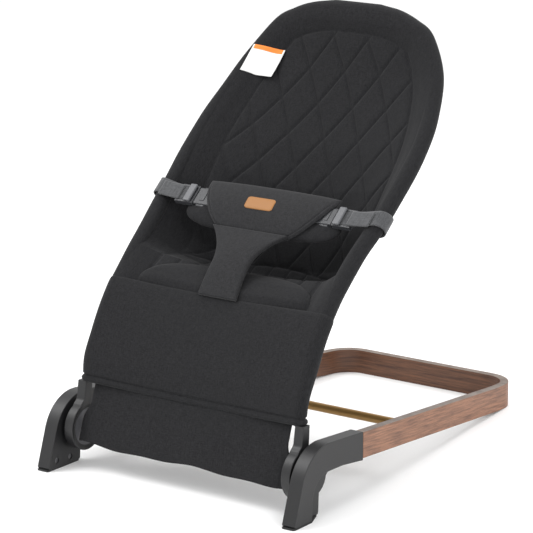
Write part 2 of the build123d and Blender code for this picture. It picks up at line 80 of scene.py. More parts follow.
# ------------------------------------------------------------------ curves and surfaces
def smooth_points(points, each=24):
    """Catmull-Rom curve through the points."""
    p = np.vstack([2 * points[0] - points[1], points, 2 * points[-1] - points[-2]])
    out = []
    for k in range(1, len(p) - 2):
        t = np.linspace(0, 1, each, endpoint=False)[:, None]
        a, b, c, d = p[k - 1], p[k], p[k + 1], p[k + 2]
        out.append(
            0.5 * (2 * b + (c - a) * t + (2 * a - 5 * b + 4 * c - d) * t**2 + (3 * b - a - 3 * c + d) * t**3)
        )
    out.append(points[-1][None, :])
    return np.vstack(out)


RAIL_FINE = smooth_points(RAIL)
RAIL_S = np.r_[0, np.cumsum(np.linalg.norm(np.diff(RAIL_FINE[:, 1:], axis=0), axis=1))]
TOP_S = RAIL_S[-1]


def rail_at(s):
    """Half width, y and z of the rail at a distance s up the side profile; straight below zero."""
    s = np.asarray(s, float)
    x, y, z = (np.interp(s, RAIL_S, RAIL_FINE[:, k]) for k in range(3))
    low = np.minimum(s, 0.0)
    first = RAIL_FINE[6] - RAIL_FINE[0]
    first = first / np.linalg.norm(first[1:])
    return x, y + low * first[1], z + low * first[2]


def side_normal(s):
    """Unit vector pointing behind the sling, as y and z."""
    _, y0, z0 = rail_at(np.asarray(s) - 3.0)
    _, y1, z1 = rail_at(np.minimum(np.asarray(s) + 3.0, TOP_S))
    ty, tz = y1 - y0, z1 - z0
    n = np.hypot(ty, tz)
    return tz / n, -ty / n


def on_seat(x, s, depth):
    """Point at x across the seat, s up it and a depth behind the plane of the rails."""
    _, y, z = rail_at(s)
    ny, nz = side_normal(s)
    return np.stack([x, y + depth * ny, z + depth * nz], axis=-1)


def on_harness(x, v, w):
    """Point on the harness: x across, v up the seat, w in front of its plane."""
    x, v, w = np.broadcast_arrays(np.asarray(x, float), np.asarray(v, float), np.asarray(w, float))
    p = HARNESS_O + v[..., None] * HARNESS_V + w[..., None] * HARNESS_W
    p[..., 0] = x
    return p


def ramp(t):
    """Smooth step from 0 to 1."""
    t = np.clip(t, 0.0, 1.0)
    return t * t * (3.0 - 2.0 * t)


def seam(distance, reach=6.0):
    """Height of padding beside a stitched line: zero on it, one well away from it."""
    return 1.0 - np.exp(-np.abs(distance) / reach)


def waves(a, b, seed, count=7, low=0.01, high=0.05):
    """Gentle irregular waves for cloth, the same on every run."""
    rng = np.random.default_rng(seed)
    total = np.zeros(np.broadcast(a, b).shape)
    for _ in range(count):
        angle = rng.uniform(0, math.pi)
        scale = rng.uniform(low, high)
        phase = rng.uniform(0, 2 * math.pi)
        total += np.sin((a * math.cos(angle) + b * math.sin(angle)) * scale * 2 * math.pi + phase)
    return total / count


def edge_distance(points):
    """Distance of points on the plane of the rails from the rail curve, either side and the top."""
    top = np.array([(x, RAIL[-1][1], RAIL[-1][2]) for x in np.linspace(35.0, 0.0, 8)])
    right = np.vstack([RAIL_FINE[::3], top])
    flat = np.abs(points.reshape(-1, 3) * [1, 0, 0]) + points.reshape(-1, 3) * [0, 1, 1]
    best = np.full(len(flat), 1e9)
    for a, b in zip(right, right[1:]):
        run = b - a
        t = np.clip(((flat - a) @ run) / (run @ run), 0.0, 1.0)
        best = np.minimum(best, np.linalg.norm(flat - a - t[:, None] * run, axis=1))
    return best.reshape(points.shape[:-1])


# ------------------------------------------------------------------ meshes
def make_mesh(name, verts, faces, material, body, replaces=(), slot=None):
    """Mesh object from millimetre vertices, riding on a body."""
    mesh = bpy.data.meshes.new(name)
    mesh.from_pydata((np.asarray(verts) * 0.001).tolist(), [], [tuple(f) for f in faces])
    mesh.validate()
    mesh.update()
    obj = bpy.data.objects.new(name, mesh)
    bpy.context.scene.collection.objects.link(obj)
    mesh.materials.append(material)
    for poly in mesh.polygons:
        poly.use_smooth = True
    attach(obj, body)
    if replaces:
        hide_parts(*replaces)
    return obj


def grid_faces(rows, cols, wrap=False, start=0, flip=False):
    """Quads of a grid of vertices, row by row."""
    r, c = np.meshgrid(np.arange(rows - 1), np.arange(cols if wrap else cols - 1), indexing="ij")
    c2 = (c + 1) % cols
    quads = np.stack([r * cols + c, r * cols + c2, (r + 1) * cols + c2, (r + 1) * cols + c], axis=-1)
    if flip:
        quads = quads[..., ::-1]
    return (quads.reshape(-1, 4) + start).tolist()


def shell_mesh(name, front, back, material, body, closed=True, **kw):
    """Closed pad between two grids of the same shape, or two open skins."""
    rows, cols, _ = front.shape
    verts = np.vstack([front.reshape(-1, 3), back.reshape(-1, 3)])
    count = rows * cols
    faces = grid_faces(rows, cols) + grid_faces(rows, cols, start=count, flip=True)
    if closed:
        ring = (
            [c for c in range(cols)]
            + [r * cols + cols - 1 for r in range(1, rows)]
            + [(rows - 1) * cols + c for c in range(cols - 2, -1, -1)]
            + [r * cols for r in range(rows - 2, 0, -1)]
        )
        for a, b in zip(ring, ring[1:] + ring[:1]):
            faces.append((b, a, a + count, b + count))
    return make_mesh(name, verts, faces, material, body, **kw)


def tube_mesh(name, path, radius, material, body, sides=28, **kw):
    """Round tube along a path, with a radius that may vary."""
    path = np.asarray(path, float)
    radius = np.broadcast_to(radius, len(path))
    tangent = np.gradient(path, axis=0)
    tangent /= np.linalg.norm(tangent, axis=1)[:, None]
    normal = np.cross(tangent[0], [1.0, 0.0, 0.0])
    if np.linalg.norm(normal) < 0.2:
        normal = np.cross(tangent[0], [0.0, 0.0, 1.0])
    rings = []
    for p, t, r in zip(path, tangent, radius):
        normal = normal - t * (normal @ t)
        normal /= np.linalg.norm(normal)
        side = np.cross(t, normal)
        angle = np.linspace(0, 2 * math.pi, sides, endpoint=False)[:, None]
        rings.append(p + r * (np.cos(angle) * normal + np.sin(angle) * side))
    verts = np.vstack(rings)
    faces = grid_faces(len(path), sides, wrap=True)
    faces.append(tuple(range(sides))[::-1])
    faces.append(tuple((len(path) - 1) * sides + k for k in range(sides)))
    return make_mesh(name, verts, faces, material, body, **kw)


def bar_mesh(name, sections, material, body, bevel=0.8, **kw):
    """Closed solid through four-cornered sections, with soft edges."""
    verts = np.vstack(sections)
    n = len(sections[0])
    faces = grid_faces(len(sections), n, wrap=True)
    faces.append(tuple(range(n))[::-1])
    faces.append(tuple((len(sections) - 1) * n + k for k in range(n)))
    obj = make_mesh(name, verts, faces, material, body, **kw)
    soften(obj, bevel)
    return obj


def soften(obj, width):
    """Rounds the hard edges of a moulded piece."""
    mod = obj.modifiers.new("soft_edges", "BEVEL")
    mod.width = width * 0.001
    mod.segments = 3
    mod.limit_method = "ANGLE"
    mod.harden_normals = True


# ------------------------------------------------------------------ materials
def new_material(name, color, roughness=0.6, metallic=0.0):
    """Principled material with plain values."""
    mat = bpy.data.materials.new(name)
    mat.use_nodes = True
    shader = mat.node_tree.nodes["Principled BSDF"]
    shader.inputs["Base Color"].default_value = (*color, 1.0)
    shader.inputs["Roughness"].default_value = roughness
    shader.inputs["Metallic"].default_value = metallic
    return mat, mat.node_tree, shader


def coords(tree, scale=(1.0, 1.0, 1.0)):
    """Object coordinates with a scale on each axis."""
    source = tree.nodes.new("ShaderNodeTexCoord")
    mapping = tree.nodes.new("ShaderNodeMapping")
    mapping.inputs["Scale"].default_value = scale
    tree.links.new(source.outputs["Object"], mapping.inputs["Vector"])
    return mapping.outputs["Vector"]


def noise(tree, vector, scale, detail=3.0, roughness=0.6):
    """Noise texture value."""
    node = tree.nodes.new("ShaderNodeTexNoise")
    node.inputs["Scale"].default_value = scale
    node.inputs["Detail"].default_value = detail
    node.inputs["Roughness"].default_value = roughness
    tree.links.new(vector, node.inputs["Vector"])
    return node.outputs["Fac"]


def bump(tree, shader, height, strength, distance):
    """Bump on a shader from a height value."""
    node = tree.nodes.new("ShaderNodeBump")
    node.inputs["Strength"].default_value = strength
    node.inputs["Distance"].default_value = distance
    tree.links.new(height, node.inputs["Height"])
    tree.links.new(node.outputs["Normal"], shader.inputs["Normal"])


def two_tone(tree, shader, value, dark, light, low=0.3, high=0.7):
    """Base colour from a ramp between two colours."""
    node = tree.nodes.new("ShaderNodeValToRGB")
    node.color_ramp.elements[0].position = low
    node.color_ramp.elements[0].color = (*dark, 1.0)
    node.color_ramp.elements[1].position = high
    node.color_ramp.elements[1].color = (*light, 1.0)
    tree.links.new(value, node.inputs["Fac"])
    tree.links.new(node.outputs["Color"], shader.inputs["Base Color"])


def fabric(name, dark, light, thread=1500.0, sheen=0.25, strength=0.35):
    """Woven cloth: fine threads both ways over soft mottling."""
    mat, tree, shader = new_material(name, dark, 0.88)
    shader.inputs["Sheen Weight"].default_value = sheen
    shader.inputs["Sheen Roughness"].default_value = 0.5
    shader.inputs["Specular IOR Level"].default_value = 0.10
    across = noise(tree, coords(tree, (1.0, 0.12, 0.12)), thread, 2.0)
    along = noise(tree, coords(tree, (0.12, 1.0, 1.0)), thread, 2.0)
    weave = tree.nodes.new("ShaderNodeMath")
    weave.operation = "ADD"
    tree.links.new(across, weave.inputs[0])
    tree.links.new(along, weave.inputs[1])
    half = tree.nodes.new("ShaderNodeMath")
    half.operation = "MULTIPLY"
    half.inputs[1].default_value = 0.5
    tree.links.new(weave.outputs[0], half.inputs[0])
    two_tone(tree, shader, half.outputs[0], dark, light, 0.35, 0.65)
    bump(tree, shader, half.outputs[0], strength, 0.0004)
    return mat


def wood(name, dark, light, lines=1.0):
    """Straight-grained veneer whose grain follows the sloping arms and the level back."""
    mat, tree, shader = new_material(name, light, 0.5)
    source = tree.nodes.new("ShaderNodeTexCoord")
    split = tree.nodes.new("ShaderNodeSeparateXYZ")
    tree.links.new(source.outputs["Object"], split.inputs[0])
    back = tree.nodes.new("ShaderNodeMath")
    back.operation = "MINIMUM"
    back.inputs[1].default_value = 0.278
    tree.links.new(split.outputs["Y"], back.inputs[0])
    drop = tree.nodes.new("ShaderNodeMath")
    drop.operation = "MULTIPLY_ADD"
    drop.inputs[1].default_value = 0.1233
    tree.links.new(back.outputs[0], drop.inputs[0])
    tree.links.new(split.outputs["Z"], drop.inputs[2])
    join = tree.nodes.new("ShaderNodeCombineXYZ")
    tree.links.new(split.outputs["X"], join.inputs["X"])
    tree.links.new(split.outputs["Y"], join.inputs["Y"])
    tree.links.new(drop.outputs[0], join.inputs["Z"])
    mapping = tree.nodes.new("ShaderNodeMapping")
    mapping.inputs["Scale"].default_value = (0.05, 0.05, 1.0)
    tree.links.new(join.outputs[0], mapping.inputs["Vector"])
    grain = noise(tree, mapping.outputs[0], 420.0 * lines, 6.0, 0.72)
    two_tone(tree, shader, grain, dark, light, 0.36, 0.64)
    bump(tree, shader, grain, 0.25, 0.0003)
    return mat


def plastic(name, color, roughness=0.5, grain=0.12):
    """Moulded plastic with a fine spark-eroded surface."""
    mat, tree, shader = new_material(name, color, roughness)
    bump(tree, shader, noise(tree, coords(tree), 2600.0, 2.0), grain, 0.0002)
    return mat


SEAT = fabric("seat_cloth", (0.0095, 0.0095, 0.0105), (0.023, 0.023, 0.0245), sheen=0.06)
STRAP = fabric("strap_cloth", (0.015, 0.015, 0.016), (0.032, 0.032, 0.034), sheen=0.08, strength=0.3)
WEB = fabric("webbing_cloth", (0.044, 0.045, 0.048), (0.092, 0.094, 0.098), thread=900.0, strength=0.6)
LABEL, _, _ = new_material("label_white", (0.78, 0.78, 0.77), 0.7)
BAND, _, _ = new_material("label_orange", (0.80, 0.22, 0.03), 0.7)
LEATHER = plastic("tan_leather", (0.31, 0.134, 0.034), 0.55, 0.5)
BLACK = plastic("black_plastic", (0.0090, 0.0090, 0.0098), 0.44)
BUCKLE = plastic("buckle_black", (0.040, 0.041, 0.045), 0.38, 0.05)
LADDER = plastic("buckle_grey", (0.105, 0.107, 0.115), 0.38, 0.05)
NYLON = plastic("inner_nylon", (0.06, 0.06, 0.065), 0.5)
RUBBER = plastic("pad_rubber", (0.02, 0.02, 0.02), 0.8, 0.3)
WALNUT = wood("walnut_outside", (0.120, 0.050, 0.026), (0.330, 0.155, 0.085))
# Inner veneer: the same walnut grain as the outer veneer, with its colour darkened as painted shade for the
# bow's inside faces
WALNUT_SHADED = wood("walnut_inside", (0.050, 0.018, 0.008), (0.150, 0.062, 0.028))
PLY = wood("ply_edge", (0.115, 0.080, 0.060), (0.215, 0.170, 0.140), 2.2)
ROD, _, _ = new_material("rod_bronze", (0.36, 0.21, 0.07), 0.38, 0.6)
STEEL, _, _ = new_material("screw_steel", (0.22, 0.22, 0.23), 0.35, 1.0)
TUBE, _, _ = new_material("tube_black", (0.02, 0.02, 0.02), 0.4)

CAD_LOOKS = [
    (("bow_core",), PLY),
    (("bow_outer_veneer",), WALNUT),
    (("bow_inner_veneer",), WALNUT_SHADED),
    (("cross_rod",), ROD),
    (("leg_inner_shell", "leg_outer_shell", "frame_arm"), BLACK),
    (("foot_pad", "torsion_bush"), RUBBER),
    (("leg_screws", "tenon_screws", "hinge_pin", "lock_spring"), STEEL),
    (("ratchet_ring", "hub_core", "lock_gear", "lock_button"), NYLON),
    (("frame_tube",), TUBE),
]
for stems, material in CAD_LOOKS:
    for name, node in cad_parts.items():
        if name.replace("right_", "").replace("left_", "") in stems:
            node.data.materials.clear()
            node.data.materials.append(material)


# ------------------------------------------------------------------ back panel
def pad_arch(x):
    """Upper edge of the seat pad, as a distance up the seat."""
    return KNEE_S + 54.0 * np.sqrt(np.clip(1.0 - (np.abs(x) / 140.0) ** 3.2, 0.0, 1.0))


def sling_depth(s, e, half=167.0):
    """Depth of the unquilted sling at s up the seat and e in from the rail."""
    middle = np.interp(s, DEPTH_S, DEPTH)
    power = 2.0 + 1.6 * ramp(1.0 - np.abs(s - 245.0) / 90.0)
    share = 1.0 - np.abs(1.0 - np.clip(e / half, 0.0, 1.0)) ** power
    over_tube = -SLEEVE_R * (1.0 - ramp(e / 34.0))
    return middle * share + over_tube


def quilting(x, s, e):
    """Height of the quilting above its seams."""
    a = x / DIAMOND_WIDE + (s - DIAMOND_S) / DIAMOND_TALL
    b = x / DIAMOND_WIDE - (s - DIAMOND_S) / DIAMOND_TALL
    pitch = 1.0 / math.hypot(1.0 / DIAMOND_WIDE, 1.0 / DIAMOND_TALL)
    low_seam = 262.0 - 46.0 * (np.abs(x) / 150.0) ** 2
    upper = seam((a - np.round(a)) * pitch, 2.3) * seam((b - np.round(b)) * pitch, 2.3)
    rib = x / (DIAMOND_WIDE / 2.0) + 0.5
    lower = seam((rib - np.round(rib)) * DIAMOND_WIDE / 2.0, 2.5)
    inside = np.where(s > low_seam, upper, lower) * seam(s - low_seam, 2.5)
    border = BORDER - 4.0 * ramp((s - 520.0) / 60.0)
    blend = ramp((e - border) / 2.0)
    return seam(e - border, 2.5) * (inside * blend + (1.0 - blend)) * ramp(e / 20.0)


rows = int((TOP_S - KNEE_S) / STEP)
cols = int(340.0 / STEP) | 1
s_grid = np.linspace(KNEE_S - 1.0, TOP_S, rows)[:, None] * np.ones((1, cols))
half_grid = rail_at(s_grid)[0]
x_grid = np.linspace(-1.0, 1.0, cols)[None, :] * half_grid
e_grid = edge_distance(on_seat(x_grid, s_grid, np.zeros_like(s_grid)))
base_depth = sling_depth(s_grid, e_grid)
puff = 3.3 * quilting(x_grid, s_grid, e_grid)
sway = 0.9 * waves(x_grid, s_grid, 3, low=0.004, high=0.014) * ramp(e_grid / 30.0)
front = on_seat(x_grid, s_grid, base_depth - puff - sway)
rear_depth = base_depth + 7.0 + (2.0 * SLEEVE_R - 7.0) * (1.0 - ramp(e_grid / 34.0))
back = on_seat(x_grid, s_grid, rear_depth + 0.8 * waves(x_grid, s_grid, 4, low=0.004, high=0.012))
back_panel = shell_mesh(
    "back_panel_cloth",
    front,
    back,
    SEAT,
    "seat",
    closed=False,
    replaces=("back_panel", "bucket_panel"),
    slot="seat_fabric",
)

# Sleeve over the tube, from the front pocket round to the other side
first = int(np.searchsorted(RAIL_S, KNEE_S - 14.0))
right_side = RAIL_FINE[first:]
loop = np.vstack([right_side, [(x, RAIL[-1][1], RAIL[-1][2]) for x in np.linspace(30.0, 0.0, 6)]])
left_side = loop[:-1][::-1] * [-1.0, 1.0, 1.0]
path = np.vstack([loop, left_side])
turn = np.linspace(0, 60, len(path))
sleeve = tube_mesh(
    "edge_sleeve_cloth",
    path,
    SLEEVE_R + 0.15 * np.sin(turn * 1.7),
    SEAT,
    "seat",
    sides=40,
    replaces=("edge_sleeve",),
    slot="edge_fabric",
)

# ------------------------------------------------------------------ seat pad
pad_cols, pad_rows = 150, 48
u = np.linspace(-1.0, 1.0, pad_cols)[None, :]
t = np.linspace(0.0, 1.0, pad_rows)[:, None]
pad_x = 138.5 * np.sin(u * math.pi / 2.0) * np.ones_like(t)
pad_s = KNEE_S - 1.5 + (pad_arch(pad_x) - KNEE_S + 1.5) * t
pad_in = np.minimum.reduce([
    pad_arch(pad_x) - pad_s,
    (139.0 - np.abs(pad_x)) * 0.8,
    np.full_like(pad_s, 60.0),
])
pad_e = 167.0 - np.abs(pad_x)
pad_low = sling_depth(pad_s, pad_e)
pad_round = 1.0 - np.exp(-np.clip(pad_in, 0.0, 60.0) / 7.0)
pad_knee = ramp((pad_s - KNEE_S + 4.0) / 16.0)
pad_front = on_seat(pad_x, pad_s, pad_low - 2.0 - 9.5 * pad_round * (0.35 + 0.65 * pad_knee))
pad_back = on_seat(pad_x, pad_s, pad_low + 2.5)
seat_pad = shell_mesh(
    "seat_pad_cloth", pad_front, pad_back, SEAT, "seat", replaces=("seat_pad",), slot="seat_fabric"
)

# ------------------------------------------------------------------ front pocket
arc = 18
web_cols = 150
pocket_rows = 96
v_grid = np.linspace(0.0, 1.0, pocket_rows)


def pocket_loop(s_mid, grow, sag_front, sag_back, dip):
    """One closed loop round both tubes and across the front and back of the pocket."""
    half = float(rail_at(s_mid)[0])
    r = POCKET_R + grow
    across = np.linspace(-1.0, 1.0, web_cols)
    across = np.sin(across * math.pi / 2.0) * 0.35 + across * 0.65
    x_front = across * half
    belly = 1.0 - np.abs(across) ** 2.2
    d_front = -r + sag_front * belly
    right = np.linspace(-math.pi / 2.0, math.pi / 2.0, arc)[1:-1]
    x_right = half + r * np.cos(right)
    d_right = r * np.sin(right)
    x_back = x_front[::-1]
    d_back = r + sag_back * belly[::-1]
    x_left = -half - r * np.cos(right[::-1])
    d_left = r * np.sin(right[::-1])
    x = np.concatenate([x_front, x_right, x_back, x_left])
    d = np.concatenate([d_front, d_right, d_back, d_left])
    low = dip * (1.0 - np.clip(np.abs(x) / half, 0.0, 1.0) ** 2.0)
    s = s_mid - low
    return x, s, d


loops = []
HEM_S = -2.0
for k, v in enumerate(v_grid):
    s_mid = HEM_S + (KNEE_S - HEM_S) * v
    from_hem = s_mid - HEM_S
    from_knee = KNEE_S - s_mid
    roll = 1.8 * math.exp(-(((from_hem - 4.5) / 3.4) ** 2))
    roll -= 2.4 * math.exp(-(((from_hem - 9.8) / 1.3) ** 2))
    close = -3.0 * math.exp(-from_hem / 1.6) - 2.2 * math.exp(-from_knee / 1.8)
    slim = -2.8 * (1.0 - ramp(from_hem / 90.0))
    x, s, d = pocket_loop(s_mid, roll + close + slim, 9.0, -9.0, 3.5 * (1.0 - ramp(v * 1.15)))
    d = d + 0.8 * waves(x, s, 11, low=0.004, high=0.013) * np.clip(1.0 - np.abs(x) / 175.0, 0.0, 1.0)
    loops.append(on_seat(x, s, d))
ring = len(loops[0])
pocket_verts = np.vstack(loops)
pocket_faces = grid_faces(pocket_rows, ring, wrap=True)
front_pocket = make_mesh(
    "front_panel_cloth",
    pocket_verts,
    pocket_faces,
    SEAT,
    "seat",
    replaces=("front_panel",),
    slot="seat_fabric",
)

# ------------------------------------------------------------------ apron
a_rows, a_cols = 60, 170
edge = np.linspace(-1.0, 1.0, a_cols)[None, :] * np.ones((a_rows, 1))
fall = np.linspace(0.0, 1.0, a_rows)[:, None] * np.ones((1, a_cols))
apron_half = 160.0 + 8.5 * ramp((fall - 0.29) / 0.33)
x_apron = edge * apron_half
side_gap = apron_half - np.abs(x_apron)
bottom = 37.0 + 1.6 * np.sin(x_apron / 31.0 + 0.8) + 1.0 * np.sin(x_apron / 14.0)
z_apron = 114.0 + (bottom - 114.0) * fall
y_apron = -258.0 - 27.0 * fall - 1.8 * waves(x_apron, z_apron * 0.5, 21, low=0.003, high=0.012) * fall
y_apron += 0.9 * (np.exp(-(((side_gap - 6.0) / 1.1) ** 2)) + np.exp(-(((side_gap - 10.0) / 1.1) ** 2)))
apron_front = np.stack([x_apron, y_apron, z_apron], axis=-1)
apron_back = apron_front + np.array([0.0, 1.6, 0.0])
apron = shell_mesh(
    "lower_apron_cloth", apron_front, apron_back, SEAT, "seat", replaces=("lower_apron",), slot="seat_fabric"
)


# ------------------------------------------------------------------ harness
def flap_half(v):
    """Half width of the waist flap at v up the seat."""
    down = np.clip((31.0 - v) / 84.0, 0.0, 1.0)
    return 106.0 * (1.0 - down**1.38) ** 0.36 + 0.5


f_rows, f_cols = 80, 150
down = (1.0 - np.cos(np.linspace(0.0, math.pi, f_rows))) / 2.0
v_flap = (31.0 - 84.0 * down)[:, None] * np.ones((1, f_cols))
u_flap = np.linspace(-1.0, 1.0, f_cols)[None, :] * np.ones((f_rows, 1))
x_flap = flap_half(v_flap) * np.sin(u_flap * math.pi / 2.0)
crown = 17.0 - 11.0 * ((v_flap - 2.0) / 44.0) ** 2
crown -= 5.0 * (np.abs(x_flap) / 110.0) ** 3
rim = np.minimum(flap_half(v_flap) - np.abs(x_flap), np.minimum(31.0 - v_flap, v_flap + 53.0) * 1.1)
plump = 1.0 - np.exp(-np.clip(rim, 0.0, None) / 3.2)
stitch = 1.1 * np.exp(-(((rim - 5.5) / 1.1) ** 2)) * ramp((22.0 - v_flap) / 10.0)
w_front = crown + 4.0 * plump - stitch + 0.5 * waves(x_flap, v_flap, 31, low=0.006, high=0.02)
flap = shell_mesh(
    "waist_flap_cloth",
    on_harness(x_flap + 3.0, v_flap, w_front),
    on_harness(x_flap + 3.0, v_flap, crown - 2.0 * plump),
    STRAP,
    "seat",
    replaces=("waist_flap",),
    slot="seat_fabric",
)

# Blank leather tag, slightly sunk at its edge
t_cols, t_rows = 40, 18
tu = np.linspace(-1.0, 1.0, t_cols)[None, :] * np.ones((t_rows, 1))
tv = np.linspace(-1.0, 1.0, t_rows)[:, None] * np.ones((1, t_cols))
corner = np.sqrt(np.clip(1.0 - np.abs(tv) ** 8, 0.0, 1.0))
tx = 22.5 * tu * (0.93 + 0.07 * corner)
tvv = -3.0 + 9.2 * tv * (0.88 + 0.12 * np.sqrt(np.clip(1.0 - np.abs(tu) ** 10, 0.0, 1.0)))
lift = 17.0 - 11.0 * ((tvv - 2.0) / 44.0) ** 2 + 4.0
tag_rim = np.minimum(22.5 * (1.0 - np.abs(tu)), 9.2 * (1.0 - np.abs(tv)))
tag_w = lift + 1.3 - 0.5 * np.exp(-(((tag_rim - 1.6) / 0.5) ** 2)) - 0.6 * np.exp(-tag_rim / 0.6)
shell_mesh(
    "leather_tag_patch",
    on_harness(tx, tvv, tag_w),
    on_harness(tx, tvv, lift - 0.4),
    LEATHER,
    "seat",
    replaces=("leather_tag",),
    slot="tan_leather",
)

# Soft waist roll behind the flap
r_len = np.linspace(-1.0, 1.0, 130)
roll_x = 124.0 * np.sin(r_len * math.pi / 2.0)
fat = np.clip(1.0 - np.abs(roll_x / 124.5) ** 5.0, 0.0, 1.0) ** 0.5 + 0.02
angle = np.linspace(0.0, 2.0 * math.pi, 48, endpoint=False)
roll_rings = []
for x, f in zip(roll_x, fat):
    wrinkle = 1.0 + 0.05 * waves(np.full_like(angle, x * 2.0), angle * 30.0, 41, low=0.006, high=0.03)
    vv = -13.0 + 25.0 * f * wrinkle * np.sin(angle)
    ww = -1.0 + 11.0 * f * wrinkle * np.cos(angle)
    roll_rings.append(on_harness(np.full_like(angle, x), vv, ww))
roll_faces = grid_faces(len(roll_rings), len(angle), wrap=True)
roll_faces.append(tuple(range(len(angle)))[::-1])
roll_faces.append(tuple((len(roll_rings) - 1) * len(angle) + k for k in range(len(angle))))
waist_roll = make_mesh(
    "waist_pad_cloth",
    np.vstack(roll_rings),
    roll_faces,
    SEAT,
    "seat",
    replaces=("waist_pad",),
    slot="seat_fabric",
)

# Crotch strap, from the knee seam up and under the flap
c_rows, c_cols = 90, 60
run = np.linspace(0.0, 1.0, c_rows)[:, None] * np.ones((1, c_cols))
cu = np.linspace(-1.0, 1.0, c_cols)[None, :] * np.ones((c_rows, 1))
start = on_seat(np.array(0.0), np.array(KNEE_S - 3.0), np.array(-6.0))
end = on_harness(0.0, -41.0, 9.5)
middle = (start + end) / 2.0 + np.array([0.0, -7.0, 8.0])
strap_line = (
    (1.0 - run[..., None]) ** 2 * start
    + 2.0 * run[..., None] * (1.0 - run[..., None]) * middle
    + run[..., None] ** 2 * end
)
strap_half = 31.0 - 2.0 * np.sin(run * math.pi) + 30.0 * np.clip((run - 0.45) / 0.55, 0.0, 1.0) ** 1.9
front_way = np.array([0.0, -0.74, 0.67])
strap_in = strap_half * (1.0 - np.abs(cu))
strap_puff = 1.0 - np.exp(-strap_in / 2.6)
strap_stitch = 0.8 * np.exp(-(((strap_in - 5.0) / 1.0) ** 2))
bow_out = 4.0 * (1.0 - cu**2) * np.sin(np.clip(run, 0.0, 1.0) * math.pi)
height = 3.2 * strap_puff - strap_stitch + bow_out
height = height + 0.5 * waves(cu * 30.0, run * 80.0, 51, low=0.006, high=0.02)
strap_front = strap_line + height[..., None] * front_way
strap_front[..., 0] = strap_half * np.sin(cu * math.pi / 2.0)
strap_back = strap_line + (bow_out - 2.6 * strap_puff)[..., None] * front_way
strap_back[..., 0] = strap_front[..., 0]
strap = shell_mesh(
    "crotch_strap_cloth",
    strap_front,
    strap_back,
    STRAP,
    "seat",
    replaces=("crotch_strap",),
    slot="seat_fabric",
)


# ------------------------------------------------------------------ buckles and webbing
def block(name, side, x_range, v_range, w_range, material, body, bevel=1.0, **kw):
    """Soft-edged block on the harness plane."""
    x0, x1 = x_range
    v0, v1 = v_range
    w0, w1 = w_range
    corners = [(v0, w0), (v1, w0), (v1, w1), (v0, w1)]
    if side < 0:
        corners = corners[::-1]
    sections = [np.array([on_harness(side * x, v, w) for v, w in corners]) for x in (x0, x1)]
    return bar_mesh(name, sections, material, body, bevel, **kw)


def join(parts, name):
    """Joins soft-edged pieces into one object."""
    for obj in parts:
        bpy.context.view_layer.objects.active = obj
        for mod in list(obj.modifiers):
            with bpy.context.temp_override(object=obj, active_object=obj):
                bpy.ops.object.modifier_apply(modifier=mod.name)
    with bpy.context.temp_override(
        active_object=parts[0], object=parts[0], selected_objects=parts, selected_editable_objects=parts
    ):
        bpy.ops.object.join()
    parts[0].name = name
    return parts[0]


